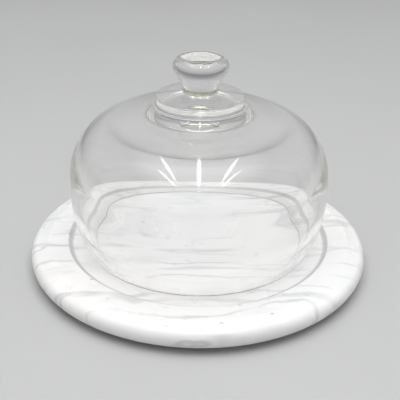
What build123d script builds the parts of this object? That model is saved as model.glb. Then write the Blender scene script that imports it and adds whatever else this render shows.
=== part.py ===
"""Cheese dome: a clear glass bell with a solid knob, standing in the recess of a round marble plate.

Millimetres. +Z is up and is the axis of every round piece. The origin is on the table, at the
centre of the feet. -Y is the front. Every section is drawn on the XZ plane as (radius, height).
"""

import os
from math import asin, cos, radians, sin, sqrt, tan

from build123d import *

# Marble plate
plate_radius = 152.4
plate_thickness = 19.5
rim_radius = 137
rim_slope = 16.5
rim_crease_radius = 6
upper_edge_radius = 8
lower_edge_radius = 8.6
recess_radius = 119
recess_depth = 3
recess_cove_radius = 7

# Feet: clear bumpers stuck under the plate
foot_count = 4
foot_radius = 5.5
foot_height = 4
foot_edge_radius = 1.2
foot_circle_radius = 128
first_foot_angle = -77

# Glass bell, with heights from its lip: incurved lower wall, round shoulder and low crown
bell_radius = 114
widest_height = 49
lower_wall_radius = 100
shoulder_radius = 55
crown_radius = 340
crown_height = 127.2
lip_edge_radius = 3.3

# Hollow of the bell: its glass is even round the side, thinner at the shoulder, thick at the crown
wall = 7
hollow_shoulder_radius = 38
hollow_crown_radius = 400
hollow_height = 116.7

# Collar on the crown, with heights from the bell's lip: solid glass that carries the knob
collar_radius = 38.3
collar_height = 138
collar_edge_radius = 1.5
waist_radius = 37.6
waist_height = 134.5
waist_pull = 6.5
flare_radius = 53
flare_pull = 9
seat_radius = 15.2
seat_height = 141.5

# Knob, with heights from its foot: solid glass, bonded to the flat seat on the collar
foot_rise = 1
neck_radius = 14.2
neck_height = 2.8
flank_angle = 30.5
belly_radius = 11
knob_radius = 23.8
knob_widest_height = 22.1
knob_brow_radius = 7.2
dimple_depth = 2.2

# Levels above the table
plate_top = foot_height + plate_thickness
lip_level = plate_top - recess_depth
seat_level = lip_level + seat_height


def bell_outline(inset, shoulder, crown, height):
    """Half section of the bell, its side moved inwards by inset, from its lip up to the axis."""
    side = bell_radius - inset
    lower = lower_wall_radius - inset
    side_level = lip_level + widest_height
    crown_level = lip_level + height
    lip = bell_radius - lower_wall_radius + sqrt(lower**2 - widest_height**2)
    corner = (side, crown_level - crown + sqrt(crown**2 - side**2))
    with BuildSketch(Plane.XZ) as outline:
        with BuildLine():
            Polyline((0, crown_level), (0, lip_level), (lip, lip_level))
            TangentArc((side, side_level), (lip, lip_level), tangent=(0, -1))
            Line((side, side_level), corner)
            TangentArc((0, crown_level), corner, tangent=(1, 0))
        make_face()
        fillet(outline.vertices().sort_by_distance(corner)[0], shoulder)
    return outline.sketch


# Marble plate: one turned disc with a sloping, rounded rim and a shallow recess with a coved edge
rim_drop = (plate_radius - rim_radius) * tan(radians(rim_slope))
cove_width = sqrt(recess_cove_radius**2 - (recess_cove_radius - recess_depth) ** 2)
cove_start = (recess_radius - cove_width, lip_level)
under_corner = (plate_radius, foot_height)
upper_corner = (plate_radius, plate_top - rim_drop)
rim_crease = (rim_radius, plate_top)
recess_edge = (recess_radius, plate_top)
with BuildPart() as marble_plate:
    with BuildSketch(Plane.XZ) as plate_section:
        with BuildLine():
            Polyline(
                cove_start,
                (0, lip_level),
                (0, foot_height),
                under_corner,
                upper_corner,
                rim_crease,
                recess_edge,
            )
            TangentArc(cove_start, recess_edge, tangent=(1, 0))
        make_face()
        fillet(plate_section.vertices().sort_by_distance(under_corner)[0], lower_edge_radius)
        fillet(plate_section.vertices().sort_by_distance(upper_corner)[0], upper_edge_radius)
        fillet(plate_section.vertices().sort_by_distance(rim_crease)[0], rim_crease_radius)
    revolve(axis=Axis.Z)
marble_plate.part.label = "marble_plate"


# Glass bell: a hollow shell, with a solid collar that flares out of its crown to carry the knob
collar_edge = (collar_radius, lip_level + collar_height)
waist = (waist_radius, lip_level + waist_height)
flare_slope = asin(flare_radius / crown_radius)
crown_centre_level = lip_level + crown_height - crown_radius
flare_end = (flare_radius, crown_centre_level + crown_radius * cos(flare_slope))
flare_handle = (flare_end[0] - flare_pull * cos(flare_slope), flare_end[1] + flare_pull * sin(flare_slope))
collar_base_level = lip_level + hollow_height
with BuildPart() as glass_bell:
    with BuildSketch(Plane.XZ):
        add(bell_outline(0, shoulder_radius, crown_radius, crown_height))
    revolve(axis=Axis.Z)
    with BuildSketch(Plane.XZ) as collar_section:
        with BuildLine():
            Polyline(
                waist,
                collar_edge,
                (seat_radius, seat_level),
                (0, seat_level),
                (0, collar_base_level),
                (flare_end[0], collar_base_level),
                flare_end,
            )
            Bezier(flare_end, flare_handle, (waist[0], waist[1] - waist_pull), waist)
        make_face()
        fillet(collar_section.vertices().sort_by_distance(collar_edge)[0], collar_edge_radius)
    revolve(axis=Axis.Z)
    with BuildSketch(Plane.XZ):
        add(bell_outline(wall, hollow_shoulder_radius, hollow_crown_radius, hollow_height))
    revolve(axis=Axis.Z, mode=Mode.SUBTRACT)
    lip_edges = glass_bell.edges().filter_by(GeomType.CIRCLE).group_by(Axis.Z)[0]
    fillet(lip_edges, lip_edge_radius)
glass_bell.part.label = "glass_bell"


# Knob: a flared stem that widens into a round brow with a shallow dimple on top
foot_edge = (seat_radius, seat_level + foot_rise)
neck = (neck_radius, seat_level + neck_height)
knob_side = (knob_radius, seat_level + knob_widest_height)
belly_start = (
    knob_side[0] - belly_radius * (1 - cos(radians(flank_angle))),
    knob_side[1] - belly_radius * sin(radians(flank_angle)),
)
knob_brow = (knob_side[0] - knob_brow_radius, knob_side[1] + knob_brow_radius)
dimple_bottom = (0, knob_brow[1] - dimple_depth)
with BuildPart() as glass_knob:
    with BuildSketch(Plane.XZ):
        with BuildLine():
            Polyline((0, seat_level), (seat_radius, seat_level), foot_edge, neck, belly_start)
            TangentArc(knob_side, belly_start, tangent=(0, -1))
            TangentArc(knob_side, knob_brow, tangent=(0, 1))
            TangentArc(dimple_bottom, knob_brow, tangent=(1, 0))
            Line(dimple_bottom, (0, seat_level))
        make_face()
    revolve(axis=Axis.Z)
glass_knob.part.label = "glass_knob"


# Feet: four short round bumpers, evenly spaced under the plate
feet = {}
for number in range(1, foot_count + 1):
    angle = first_foot_angle + (number - 1) * 360 / foot_count
    with BuildPart() as foot:
        with Locations(Location((0, 0, 0), (0, 0, angle))):
            with Locations((foot_circle_radius, 0, foot_height / 2)):
                Cylinder(foot_radius, foot_height)
        fillet(foot.edges().group_by(Axis.Z)[0], foot_edge_radius)
    foot.part.label = f"foot_{number}"
    feet[foot.part.label] = foot.part


os.makedirs("parts", exist_ok=True)
for piece in [marble_plate.part, glass_bell.part, glass_knob.part, *feet.values()]:
    export_step(piece, f"parts/{piece.label}.step")
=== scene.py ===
import math

import bmesh
import bpy
from mathutils import Matrix, Vector


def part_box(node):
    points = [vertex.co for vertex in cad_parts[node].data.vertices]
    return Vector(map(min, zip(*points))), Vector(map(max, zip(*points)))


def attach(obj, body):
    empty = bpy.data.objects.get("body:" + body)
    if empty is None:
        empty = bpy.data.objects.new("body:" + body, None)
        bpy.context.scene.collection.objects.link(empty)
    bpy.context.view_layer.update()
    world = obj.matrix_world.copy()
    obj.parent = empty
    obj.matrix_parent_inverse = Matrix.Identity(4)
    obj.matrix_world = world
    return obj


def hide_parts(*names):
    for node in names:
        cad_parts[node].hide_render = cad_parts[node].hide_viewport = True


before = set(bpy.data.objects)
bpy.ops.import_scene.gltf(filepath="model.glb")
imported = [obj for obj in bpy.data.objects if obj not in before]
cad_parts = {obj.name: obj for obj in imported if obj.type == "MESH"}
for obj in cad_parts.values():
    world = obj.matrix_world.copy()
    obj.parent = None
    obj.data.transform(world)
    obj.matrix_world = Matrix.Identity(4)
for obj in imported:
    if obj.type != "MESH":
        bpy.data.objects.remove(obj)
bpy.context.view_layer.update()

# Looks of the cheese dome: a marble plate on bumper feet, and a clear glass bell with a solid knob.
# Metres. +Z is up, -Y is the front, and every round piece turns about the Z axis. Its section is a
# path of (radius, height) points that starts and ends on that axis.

# Places read from the frame
plate_low, plate_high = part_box("marble_plate")
bell_low, bell_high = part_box("glass_bell")
knob_low, knob_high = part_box("glass_knob")
plate_radius = plate_high[0]
plate_top = plate_high[2]
bell_radius = bell_high[0]
lip_level = bell_low[2]
seat_level = knob_low[2]
knob_radius = knob_high[0]

# Sizes of the plate, beside those that the frame gives
RIM_RADIUS = 0.137
RIM_SLOPE = math.radians(16.5)
RIM_CREASE_RADIUS = 0.006
UPPER_EDGE_RADIUS = 0.008
LOWER_EDGE_RADIUS = 0.0086
RECESS_RADIUS = 0.119
COVE_RADIUS = 0.007
FOOT_COUNT = 4

# Sizes of the glass bell, with heights from its lip
WALL = 0.007
WIDEST_HEIGHT = 0.049
LOWER_WALL_RADIUS = 0.100
SHOULDER_RADIUS = 0.055
CROWN_RADIUS = 0.340
CROWN_HEIGHT = 0.1272
HOLLOW_SHOULDER_RADIUS = 0.038
HOLLOW_CROWN_RADIUS = 0.400
HOLLOW_HEIGHT = 0.1167
LIP_EDGE_RADIUS = 0.0033

# Sizes of the collar, with heights from the bell's lip
COLLAR_RADIUS = 0.0383
COLLAR_HEIGHT = 0.138
COLLAR_EDGE_RADIUS = 0.0015
WAIST_RADIUS = 0.0376
WAIST_HEIGHT = 0.1345
WAIST_PULL = 0.0065
FLARE_RADIUS = 0.053
FLARE_PULL = 0.009
SEAT_RADIUS = 0.0152

# Sizes of the knob, with heights from its seat on the collar
FOOT_RISE = 0.001
BEAD_RADIUS = 0.0006
NECK_RADIUS = 0.0142
NECK_HEIGHT = 0.0028
NECK_CURVE_RADIUS = 0.0025
FLANK_ANGLE = math.radians(30.5)
BELLY_RADIUS = 0.011
WIDEST_KNOB_HEIGHT = 0.0221
BROW_RADIUS = 0.0072
DIMPLE_DEPTH = 0.0022

# Thickness of the bond between the knob and its seat
BOND_THICKNESS = 0.00002

# Fineness of the meshes
PLATE_SEGMENTS = 256
GLASS_SEGMENTS = 224
LONGEST_RUN = 0.006
LONGEST_KNOB_RUN = 0.004
ON_AXIS = 1e-6
SHARP_ANGLE = math.radians(32)

# Looks of the marble. Painted shade darkens the cove, from the inner radius below out to the recess's
# edge. Light reaches as deep as MARBLE_DEPTH says, for red, green and blue
WHITE = (0.90, 0.90, 0.895, 1)
WARM_WHITE = (0.90, 0.885, 0.87, 1)
CLOUD_GREY = (0.70, 0.705, 0.715, 1)
STREAK_GREY = (0.56, 0.57, 0.59, 1)
VEIN_GREY = (0.42, 0.43, 0.46, 1)
SMOKE_GREY = (0.50, 0.51, 0.53, 1)
SPECK_GREY = (0.22, 0.22, 0.24, 1)
# Painted shade in the cove: its grey, and the inner radius and blur of its ring
COVE_SHADE_GREY = (0.56, 0.56, 0.555, 1)
COVE_SHADE_START = 0.1153
COVE_SHADE_BLUR = 0.0012
STREAK_TURN = math.radians(4)
WARM_SCALE = (7, 7, 7)
GRAIN_SCALE = (900, 900, 900)
GRAIN_HEIGHT = 0.0004
WEAR_SCALE = (40, 40, 40)
MARBLE_IOR = 1.5
MARBLE_GLOW = 0.05
MARBLE_DEPTH = (0.004, 0.004, 0.0035)

# Looks of the glass. LIGHT_PASSED is what a face lets through, from nearly head on to edge on
WAVE_SCALE = (9, 9, 14)
WAVE_HEIGHT = 0.002
GLASS_IOR = 1.5
GLASS_WHITE = (0.99, 0.992, 0.985, 1)
GLASS_TINT = (0.81, 0.81, 0.70, 1)
LIGHT_PASSED = [(0.35, 0.955), (0.75, 0.86), (1.0, 0.55)]
BOUNCES = 256

# Looks of the bumpers
RUBBER_WHITE = (0.78, 0.78, 0.75, 1)
RUBBER_DUST = (0.60, 0.60, 0.58, 1)
DUST_SCALE = (400, 400, 400)
RUBBER_GLOW = 0.5
RUBBER_DEPTH = (0.002, 0.002, 0.002)

# Floor and surroundings, with the rise of a direction as the sine of its elevation
FLOOR_SIZE = 12.0
FLOOR_CELLS = 8
MOTTLE_SCALE = (3, 3, 3)
HORIZON_RISE = 0.02
HORIZON_GREY = (0.36, 0.365, 0.37, 1)
SKY_RISE = 0.45
SKY_GREY = (0.98, 0.99, 1.0, 1)
WORLD_STRENGTH = 0.56

# Lamps, which are brightest out to BRIGHT_REACH, as a share of the way from middle to edge
BROAD_PLACE = (0, -0.2, 1.9)
BROAD_SIZE = (3.4, 3.4)
BROAD_POWER = 36
LAMP_SIZE = (0.09, 1.7)
LAMP_SPACING = 0.50
LAMP_MIDDLE = -0.3
LAMP_HEIGHT = 1.6
LAMP_POWER = 3.4
BRIGHTEST = 1.8
BRIGHT_REACH = 0.35

# Camera
CAMERA_DISTANCE = 0.7425
CAMERA_ELEVATION = math.radians(29.5)
CAMERA_AIM = (0.0012, 0, plate_top + 0.0345)
CAMERA_ROLL = math.radians(0.95)
CAMERA_LENS = 72
SENSOR_WIDTH = 36


def arc(centre, radius, start, end, steps):
    """Points (radius, height) round a centre, from one angle in radians to another."""
    turn = (end - start) / steps
    angles = [start + turn * i for i in range(steps + 1)]
    return [(centre[0] + radius * math.cos(a), centre[1] + radius * math.sin(a)) for a in angles]


def bezier(start, start_pull, end_pull, end, steps):
    """Points along a cubic curve between two points, each with its pull."""
    path = []
    for i in range(steps + 1):
        t = i / steps
        weights = [(1 - t) ** 3, 3 * t * (1 - t) ** 2, 3 * t**2 * (1 - t), t**3]
        corners = [start, start_pull, end_pull, end]
        path.append(tuple(sum(w * c[k] for w, c in zip(weights, corners)) for k in (0, 1)))
    return path


def rounded(corners, steps):
    """Path through (point, fillet radius) pairs, with each corner rounded to its radius."""
    path = []
    for i, (point, radius) in enumerate(corners):
        here = Vector(point)
        if radius == 0 or i in (0, len(corners) - 1):
            path.append(tuple(here))
            continue
        back = (Vector(corners[i - 1][0]) - here).normalized()
        ahead = (Vector(corners[i + 1][0]) - here).normalized()
        half = back.angle(ahead) / 2
        centre = here + (back + ahead).normalized() * (radius / math.sin(half))
        first = here + back * (radius / math.tan(half)) - centre
        last = here + ahead * (radius / math.tan(half)) - centre
        start = math.atan2(first.y, first.x)
        sweep = first.angle_signed(last)
        path += arc(centre, radius, start, start - sweep, steps)
    return path


def divided(path, longest):
    """The same path, with long straight runs cut into even lengths."""
    cut = [path[0]]
    for (r0, z0), (r1, z1) in zip(path, path[1:]):
        pieces = max(1, math.ceil(math.hypot(r1 - r0, z1 - z0) / longest))
        for i in range(1, pieces + 1):
            cut.append((r0 + (r1 - r0) * i / pieces, z0 + (z1 - z0) * i / pieces))
    return cut


def in_scene(name, data):
    """New object that holds the data, linked into the scene."""
    thing = bpy.data.objects.new(name, data)
    bpy.context.scene.collection.objects.link(thing)
    return thing


def mesh_data(name, mesh):
    """Mesh data made from a bmesh, which is freed."""
    data = bpy.data.meshes.new(name)
    mesh.to_mesh(data)
    mesh.free()
    return data


def ring_of(mesh, radius, height, segments):
    """Vertices evenly round the axis, or the one vertex of a point that lies on it."""
    if radius < ON_AXIS:
        return [mesh.verts.new((0, 0, height))]
    turns = [2 * math.pi * i / segments for i in range(segments)]
    return [mesh.verts.new((radius * math.cos(a), radius * math.sin(a), height)) for a in turns]


def turned(name, path, segments):
    """Closed mesh made by turning a path about Z, where a ring of one vertex closes in a fan."""
    mesh = bmesh.new()
    rings = [ring_of(mesh, radius, height, segments) for radius, height in path]
    for lower, upper in zip(rings, rings[1:]):
        for i in range(segments):
            j = (i + 1) % segments
            corners = [ring[k % len(ring)] for ring, k in ((lower, i), (lower, j), (upper, j), (upper, i))]
            face = mesh.faces.new(list(dict.fromkeys(corners)))
            face.smooth = True
    bmesh.ops.recalc_face_normals(mesh, faces=mesh.faces)
    data = mesh_data(name, mesh)
    data.set_sharp_from_angle(angle=SHARP_ANGLE)
    return in_scene(name, data)


def plate_path():
    """Underside, rounded rim, sloping shoulder, flat rim, coved step and recess floor."""
    drop = (plate_radius - RIM_RADIUS) * math.tan(RIM_SLOPE)
    depth = plate_top - lip_level
    cove_width = math.sqrt(COVE_RADIUS**2 - (COVE_RADIUS - depth) ** 2)
    cove_centre = (RECESS_RADIUS - cove_width, lip_level + COVE_RADIUS)
    cove_end = -math.acos(cove_width / COVE_RADIUS)
    outside = rounded(
        [
            ((0, plate_low[2]), 0),
            ((plate_radius, plate_low[2]), LOWER_EDGE_RADIUS),
            ((plate_radius, plate_top - drop), UPPER_EDGE_RADIUS),
            ((RIM_RADIUS, plate_top), RIM_CREASE_RADIUS),
            ((RECESS_RADIUS, plate_top), 0),
        ],
        steps=12,
    )
    cove = arc(cove_centre, COVE_RADIUS, cove_end, -math.pi / 2, steps=10)
    return divided(outside + cove[1:] + [(0, lip_level)], LONGEST_RUN)


def lip_edge(side):
    """Centre and meeting angle of the round at the lip's outer edge, side -1, or its inner, side 1."""
    inset = WALL if side == 1 else 0
    reach = LOWER_WALL_RADIUS - inset + side * LIP_EDGE_RADIUS
    rise = WIDEST_HEIGHT - LIP_EDGE_RADIUS
    across = bell_radius - LOWER_WALL_RADIUS + math.sqrt(reach**2 - rise**2)
    return (across, lip_level + LIP_EDGE_RADIUS), -math.asin(rise / reach)


def shell_path(inset, start, shoulder_radius, crown_radius, crown_height, crown_end):
    """One face of the bell's wall, from its start angle at the lip to crown_end from the axis."""
    side_level = lip_level + WIDEST_HEIGHT
    crown_centre = lip_level + crown_height - crown_radius
    across = bell_radius - inset - shoulder_radius
    up = math.sqrt((crown_radius - shoulder_radius) ** 2 - across**2)
    join = math.atan2(up, across)
    end = math.acos(crown_end / crown_radius)
    lower_centre = (bell_radius - LOWER_WALL_RADIUS, side_level)
    lower = arc(lower_centre, LOWER_WALL_RADIUS - inset, start, 0, steps=20)
    shoulder = arc((across, crown_centre + up), shoulder_radius, 0, join, steps=28)
    crown = arc((0, crown_centre), crown_radius, join, end, steps=20)
    return lower + shoulder + crown[1:]


def flare_path(outer_end):
    """Curve from the crown, where its outer face ends, up to the upright waist of the collar."""
    slope = math.asin(outer_end[0] / CROWN_RADIUS)
    pull = (outer_end[0] - FLARE_PULL * math.cos(slope), outer_end[1] + FLARE_PULL * math.sin(slope))
    waist = (WAIST_RADIUS, lip_level + WAIST_HEIGHT)
    return bezier(outer_end, pull, (waist[0], waist[1] - WAIST_PULL), waist, steps=16)


def bell_path():
    """Inside of the bell, its rounded lip, its outside, the flare, the collar and the knob's seat."""
    inner_centre, inner_meeting = lip_edge(1)
    outer_centre, outer_meeting = lip_edge(-1)
    inside = shell_path(WALL, inner_meeting, HOLLOW_SHOULDER_RADIUS, HOLLOW_CROWN_RADIUS, HOLLOW_HEIGHT, 0)
    outside = shell_path(0, outer_meeting, SHOULDER_RADIUS, CROWN_RADIUS, CROWN_HEIGHT, FLARE_RADIUS)
    inner_edge = arc(inner_centre, LIP_EDGE_RADIUS, math.pi + inner_meeting, 1.5 * math.pi, steps=12)
    outer_edge = arc(outer_centre, LIP_EDGE_RADIUS, -math.pi / 2, outer_meeting, steps=12)
    flare = flare_path(outside[-1])
    collar = rounded(
        [
            (flare[-1], 0),
            ((COLLAR_RADIUS, lip_level + COLLAR_HEIGHT), COLLAR_EDGE_RADIUS),
            ((SEAT_RADIUS, seat_level), 0),
            ((0, seat_level), 0),
        ],
        steps=10,
    )
    lip = inner_edge[1:] + outer_edge[:-1]
    path = inside[::-1] + lip + outside + flare[1:] + collar[1:]
    return divided(path, LONGEST_RUN)


def dimple_path(reach, top, steps):
    """Points of the dimple after its first, from its edge at reach and top down to the axis."""
    turns = [math.pi / 2 * i / steps for i in range(1, steps + 1)]
    return [(reach * math.cos(t), top - DIMPLE_DEPTH * math.sin(t) ** 2) for t in turns]


def knob_path():
    """Knob from its foot: bead, neck, straight flank, belly, brow and shallow dimple."""
    foot = seat_level + BOND_THICKNESS
    widest = seat_level + WIDEST_KNOB_HEIGHT
    belly_centre = (knob_radius - BELLY_RADIUS, widest)
    flank_top = (
        belly_centre[0] + BELLY_RADIUS * math.cos(FLANK_ANGLE),
        widest - BELLY_RADIUS * math.sin(FLANK_ANGLE),
    )
    stem = rounded(
        [
            ((0, foot), 0),
            ((SEAT_RADIUS, foot), 0),
            ((SEAT_RADIUS, foot + FOOT_RISE), BEAD_RADIUS),
            ((NECK_RADIUS, seat_level + NECK_HEIGHT), NECK_CURVE_RADIUS),
            (flank_top, 0),
        ],
        steps=8,
    )
    belly = arc(belly_centre, BELLY_RADIUS, -FLANK_ANGLE, 0, steps=12)
    brow = arc((knob_radius - BROW_RADIUS, widest), BROW_RADIUS, 0, math.pi / 2, steps=16)
    dimple = dimple_path(knob_radius - BROW_RADIUS, widest + BROW_RADIUS, steps=16)
    return divided(stem + belly[1:] + brow[1:] + dimple, LONGEST_KNOB_RUN)


class Nodes:
    """A node tree, with short ways to add nodes and join them."""

    def __init__(self, tree):
        self.tree = tree

    def add(self, kind, settings=None, **inputs):
        """New node with its settings and inputs, in whose names an underscore stands for a space."""
        node = self.tree.nodes.new(kind)
        for key, value in (settings or {}).items():
            setattr(node, key, value)
        for key, value in inputs.items():
            self.put(node, key.replace("_", " "), value)
        return node

    def put(self, node, key, value):
        """Links another node's output to an input, or sets the input's own value."""
        if isinstance(value, bpy.types.NodeSocket):
            self.tree.links.new(value, node.inputs[key])
        else:
            node.inputs[key].default_value = value

    def vectors(self, operation, *inputs):
        """Vector maths on up to three inputs."""
        node = self.add("ShaderNodeVectorMath", {"operation": operation})
        for i, value in enumerate(inputs):
            self.put(node, i, value)
        return node.outputs["Value" if operation == "LENGTH" else "Vector"]


class Material(Nodes):
    """A material's node tree, with the masks and mixes that its patterns are made of."""

    def __init__(self, name):
        self.material = bpy.data.materials.new(name)
        self.material.use_nodes = True
        super().__init__(self.material.node_tree)
        self.tree.nodes.clear()
        self.output = self.add("ShaderNodeOutputMaterial")

    def place(self):
        """Where a point is, in metres."""
        return self.add("ShaderNodeTexCoord").outputs["Object"]

    def placed(self, stretch, shift=(0, 0, 0), turn=0.0):
        """Coordinates with stretch units to the metre, turned about Z and shifted."""
        node = self.add("ShaderNodeMapping", Vector=self.place(), Scale=stretch, Location=shift)
        self.put(node, "Rotation", (0, 0, turn))
        return node.outputs["Vector"]

    def noise(self, where, scale=1.0, detail=2.0, roughness=0.5, distortion=0.0):
        """Smooth noise, about half on average."""
        node = self.add("ShaderNodeTexNoise", Vector=where, Scale=scale, Detail=detail)
        self.put(node, "Roughness", roughness)
        self.put(node, "Distortion", distortion)
        return node.outputs["Fac"]

    def ramp(self, value, stops):
        """Grey that goes through (place, brightness) stops."""
        node = self.add("ShaderNodeValToRGB", Fac=value)
        while len(node.color_ramp.elements) < len(stops):
            node.color_ramp.elements.new(0.5)
        for element, (place, grey) in zip(node.color_ramp.elements, stops):
            element.position = place
            element.color = (grey, grey, grey, 1)
        return node.outputs["Color"]

    def rise(self, value, low, high):
        """Mask that is 0 below low and 1 above high."""
        return self.ramp(value, [(low, 0.0), (high, 1.0)])

    def patches(self, stretch, shift, low, high, **settings):
        """Mask of soft patches of noise, about stretch of them to the metre along each axis."""
        return self.rise(self.noise(self.placed(stretch, shift), **settings), low, high)

    def maths(self, operation, first, second):
        """Maths on two numbers."""
        node = self.add("ShaderNodeMath", {"operation": operation})
        self.put(node, 0, first)
        self.put(node, 1, second)
        return node.outputs[0]

    def mix(self, amount, first, second, blend="MIX"):
        """First colour, with the second mixed in by an amount."""
        node = self.add("ShaderNodeMix", {"data_type": "RGBA", "blend_type": blend})
        self.put(node, 0, amount)
        self.put(node, 6, first)
        self.put(node, 7, second)
        return node.outputs[2]

    def veins(self, scale, bend, stretch, shift, low):
        """Mask of thin wavy lines along X, bent by noise, thinner as low nears 1."""
        where = self.placed((stretch, 1, 1), (shift, shift, shift))
        node = self.add("ShaderNodeTexWave", {"bands_direction": "Y"}, Vector=where, Scale=scale)
        self.put(node, "Distortion", bend)
        self.put(node, "Detail", 4.0)
        self.put(node, "Detail Scale", 1.1)
        self.put(node, "Detail Roughness", 0.55)
        return self.rise(node.outputs["Fac"], low, 0.995)

    def ring(self, inner, outer, blur):
        """Soft mask between two distances from the Z axis. The ramp's middle stands for outer."""
        per_metre = 0.5 / outer
        flat = self.vectors("MULTIPLY", self.place(), (1, 1, 0))
        reach = self.maths("MULTIPLY", self.vectors("LENGTH", flat), per_metre)
        stops = [(inner - blur, 0.0), (inner, 1.0), (outer - blur, 1.0), (outer, 0.0)]
        return self.ramp(reach, [(distance * per_metre, grey) for distance, grey in stops])

    def finish(self, surface):
        """The material, with this shader as its surface."""
        self.put(self.output, "Surface", surface.outputs[0])
        return self.material


def marble_marks(m):
    """The marble's marks and the cove's painted shade as (mask, tone) pairs, each drawn over the ones
    before it.

    Each is made from a pattern, a strength and a tone. Patches and gaps break the long marks up.
    """
    across = m.placed((5, 22, 22), (1.3, 2.6, 1.9), STREAK_TURN)
    cloud = m.rise(m.noise(across, scale=0.5, detail=3.0, distortion=0.6), 0.42, 0.68)
    streak = m.rise(m.noise(across, scale=1.5, detail=3.0, distortion=0.4), 0.54, 0.72)
    patch = m.patches((8, 12, 12), (7, 5, 2), 0.44, 0.66)
    gaps = m.patches((16, 24, 24), (2, 9, 4), 0.44, 0.60)
    vein = m.veins(scale=7.0, bend=7.0, stretch=0.55, shift=0.31, low=0.92)
    thread = m.veins(scale=13.0, bend=9.0, stretch=0.5, shift=1.73, low=0.93)
    smoke = m.patches((20, 44, 44), (5, 3, 8), 0.50, 0.72, detail=4.0, roughness=0.6, distortion=0.5)
    speck = m.patches((80, 150, 150), (7, 3, 5), 0.70, 0.76)
    # Painted shade: a darker grey ring over the recess's coved wall
    cove = m.ring(COVE_SHADE_START, RECESS_RADIUS, COVE_SHADE_BLUR)
    marks = [
        (cloud, 0.40, CLOUD_GREY),
        (m.maths("MULTIPLY", streak, patch), 0.60, STREAK_GREY),
        (m.maths("MULTIPLY", vein, gaps), 0.42, VEIN_GREY),
        (m.maths("MULTIPLY", thread, gaps), 0.42, VEIN_GREY),
        (m.maths("MULTIPLY", smoke, patch), 0.34, SMOKE_GREY),
        (m.maths("MULTIPLY", speck, patch), 0.70, SPECK_GREY),
        # painted shade on the cove's wall
        (cove, 0.85, COVE_SHADE_GREY),
    ]
    return [(m.maths("MULTIPLY", mask, strength), tone) for mask, strength, tone in marks]


def marble():
    """Honed white marble: clouds, smoke and broken wavy veins along X, a few specks, and painted shade in
    the cove.
    """
    m = Material("white_marble")
    warm = m.patches(WARM_SCALE, (1, 5, 2), 0.40, 0.65)
    colour = m.mix(warm, WHITE, WARM_WHITE)
    for mask, tone in marble_marks(m):
        colour = m.mix(mask, colour, tone)
    grain = m.noise(m.placed(GRAIN_SCALE))
    colour = m.mix(0.05, colour, m.ramp(grain, [(0.3, 0.6), (0.7, 1.0)]), "MULTIPLY")
    wear = m.noise(m.placed(WEAR_SCALE), detail=4.0)
    rough = m.ramp(wear, [(0.3, 0.24), (0.7, 0.38)])
    bump = m.add("ShaderNodeBump", Strength=0.12, Distance=GRAIN_HEIGHT, Height=grain)
    shader = m.add("ShaderNodeBsdfPrincipled", Base_Color=colour, Roughness=rough, IOR=MARBLE_IOR)
    m.put(shader, "Normal", bump.outputs[0])
    m.put(shader, "Subsurface Weight", MARBLE_GLOW)
    m.put(shader, "Subsurface Radius", MARBLE_DEPTH)
    m.put(shader, "Subsurface Scale", 1.0)
    return m.finish(shader)


def clear_glass():
    """Fire-polished glass that lets light through, slightly uneven and faintly tinted where thick."""
    m = Material("clear_glass")
    wave = m.noise(m.placed(WAVE_SCALE))
    bump = m.add("ShaderNodeBump", Strength=0.10, Distance=WAVE_HEIGHT, Height=wave)
    glass = m.add("ShaderNodeBsdfPrincipled", Base_Color=GLASS_WHITE, Roughness=0.0, IOR=GLASS_IOR)
    m.put(glass, "Transmission Weight", 1.0)
    m.put(glass, "Normal", bump.outputs[0])
    slant = m.add("ShaderNodeLayerWeight", Blend=0.5).outputs["Facing"]
    passed = m.add("ShaderNodeBsdfTransparent", Color=m.ramp(slant, LIGHT_PASSED))
    path = m.add("ShaderNodeLightPath")
    passing = m.maths("MAXIMUM", path.outputs["Is Shadow Ray"], path.outputs["Is Diffuse Ray"])
    both = m.add("ShaderNodeMixShader", Fac=passing)
    m.put(both, 1, glass.outputs[0])
    m.put(both, 2, passed.outputs[0])
    tint = m.add("ShaderNodeVolumeAbsorption", Color=GLASS_TINT, Density=1.0)
    m.put(m.output, "Volume", tint.outputs[0])
    return m.finish(both)


def clear_bond():
    """Index-matched bond between knob and collar: it neither bends nor mirrors light."""
    m = Material("clear_bond")
    shader = m.add("ShaderNodeBsdfPrincipled", IOR=1.0, Roughness=0.0)
    m.put(shader, "Transmission Weight", 1.0)
    m.put(shader, "Specular IOR Level", 0.0)
    return m.finish(shader)


def bumper_rubber():
    """Cloudy translucent silicone with a soft surface and a little dust."""
    m = Material("bumper_rubber")
    dust = m.noise(m.placed(DUST_SCALE), detail=4.0)
    colour = m.mix(m.maths("MULTIPLY", dust, 0.4), RUBBER_WHITE, RUBBER_DUST)
    rough = m.ramp(dust, [(0.3, 0.35), (0.7, 0.55)])
    shader = m.add("ShaderNodeBsdfPrincipled", Base_Color=colour, Roughness=rough)
    m.put(shader, "Subsurface Weight", RUBBER_GLOW)
    m.put(shader, "Subsurface Radius", RUBBER_DEPTH)
    m.put(shader, "Subsurface Scale", 1.0)
    return m.finish(shader)


def floor():
    """Plain pale floor with a faint mottle."""
    m = Material("pale_floor")
    mottle = m.noise(m.placed(MOTTLE_SCALE), detail=3.0)
    tone = m.ramp(mottle, [(0.3, 0.49), (0.7, 0.51)])
    shader = m.add("ShaderNodeBsdfPrincipled", Base_Color=tone, Roughness=0.55)
    mesh = bmesh.new()
    bmesh.ops.create_grid(mesh, x_segments=FLOOR_CELLS, y_segments=FLOOR_CELLS, size=FLOOR_SIZE / 2)
    ground = in_scene("floor", mesh_data("floor", mesh))
    ground.data.materials.append(m.finish(shader))


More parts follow.
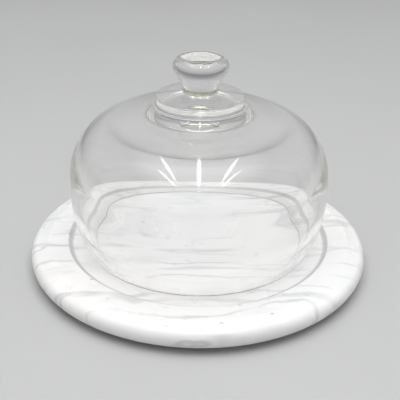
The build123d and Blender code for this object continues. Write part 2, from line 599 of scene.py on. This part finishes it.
def softbox(name, place, size, power):
    """Area light that fades from its middle to its edges, so that its reflections have soft ends."""
    data = bpy.data.lights.new(name, "AREA")
    data.shape = "RECTANGLE"
    data.size, data.size_y = size
    data.energy = power
    data.use_nodes = True
    nodes = Nodes(data.node_tree)
    across = nodes.add("ShaderNodeNewGeometry").outputs["Parametric"]
    from_middle = nodes.vectors("MULTIPLY_ADD", across, (2, 2, 0), (-1, -1, 0))
    fade = nodes.add("ShaderNodeMapRange", {"interpolation_type": "SMOOTHSTEP"})
    nodes.put(fade, "Value", nodes.vectors("LENGTH", from_middle))
    nodes.put(fade, "From Min", 1.0)
    nodes.put(fade, "From Max", BRIGHT_REACH)
    nodes.put(fade, "To Max", BRIGHTEST)
    nodes.put(data.node_tree.nodes["Emission"], "Strength", fade.outputs[0])
    lamp = in_scene(name, data)
    lamp.location = place


def surroundings():
    """Plain grey world that darkens towards the horizon, which gives the glass its outline."""
    world = bpy.data.worlds.new("studio")
    world.use_nodes = True
    nodes = Nodes(world.node_tree)
    direction = nodes.add("ShaderNodeTexCoord").outputs["Generated"]
    split = nodes.add("ShaderNodeSeparateXYZ", Vector=direction)
    shade = nodes.add("ShaderNodeValToRGB", Fac=split.outputs["Z"])
    horizon, sky = shade.color_ramp.elements
    horizon.position = HORIZON_RISE
    horizon.color = HORIZON_GREY
    sky.position = SKY_RISE
    sky.color = SKY_GREY
    background = world.node_tree.nodes["Background"]
    nodes.put(background, "Color", shade.outputs["Color"])
    nodes.put(background, "Strength", WORLD_STRENGTH)
    bpy.context.scene.world = world


def lamps():
    """One broad lamp overhead, and three long ones that mirror as streaks on the front of the bell."""
    softbox("broad", BROAD_PLACE, BROAD_SIZE, BROAD_POWER)
    for side in (-1, 0, 1):
        place = (side * LAMP_SPACING, LAMP_MIDDLE, LAMP_HEIGHT)
        softbox(f"lamp_{side + 2}", place, LAMP_SIZE, LAMP_POWER)


def glass_paths():
    """Lets light bounce inside the thick glass as often as it needs, and keeps whites white."""
    scene = bpy.context.scene
    scene.cycles.max_bounces = BOUNCES
    scene.cycles.glossy_bounces = BOUNCES
    scene.cycles.transmission_bounces = BOUNCES
    scene.view_settings.view_transform = "Standard"


def camera():
    """Camera in front of the plate and above it, at its distance from the middle of the plate's top."""
    data = bpy.data.cameras.new("camera")
    data.lens = CAMERA_LENS
    data.sensor_width = SENSOR_WIDTH
    eye = in_scene("camera", data)
    base = Vector((0, 0, plate_top))
    back = Vector((0, -math.cos(CAMERA_ELEVATION), math.sin(CAMERA_ELEVATION)))
    eye.location = base + back * CAMERA_DISTANCE
    look = (Vector(CAMERA_AIM) - eye.location).to_track_quat("-Z", "Y")
    eye.rotation_euler = (look.to_matrix() @ Matrix.Rotation(CAMERA_ROLL, 3, "Z")).to_euler()
    bpy.context.scene.camera = eye


def finished(piece, body, node, slot, *materials):
    """Gives a piece its materials, its body and the CAD node that it stands for; its slot is not used."""
    for material in materials:
        piece.data.materials.append(material)
    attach(piece, body)
    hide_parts(node)


def bonded(piece):
    """Marks the flat faces at the knob's seat as the bond, the piece's second material."""
    for face in piece.data.polygons:
        at_seat = abs(face.center.z - seat_level) < 2 * BOND_THICKNESS
        inside = math.hypot(face.center.x, face.center.y) < SEAT_RADIUS
        face.material_index = 1 if at_seat and inside else 0


plate = turned("plate_marble", plate_path(), PLATE_SEGMENTS)
finished(plate, "plate", "marble_plate", "marble", marble())

glass = clear_glass()
bond = clear_bond()
bell = turned("bell_glass", bell_path(), GLASS_SEGMENTS)
finished(bell, "bell", "glass_bell", "clear_glass", glass, bond)
bonded(bell)
knob = turned("knob_glass", knob_path(), GLASS_SEGMENTS)
finished(knob, "bell", "glass_knob", "clear_glass", glass, bond)
bonded(knob)

rubber = bumper_rubber()
for number in range(1, FOOT_COUNT + 1):
    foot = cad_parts[f"foot_{number}"]
    foot.data.materials.clear()
    foot.data.materials.append(rubber)

floor()
surroundings()
lamps()
glass_paths()
camera()
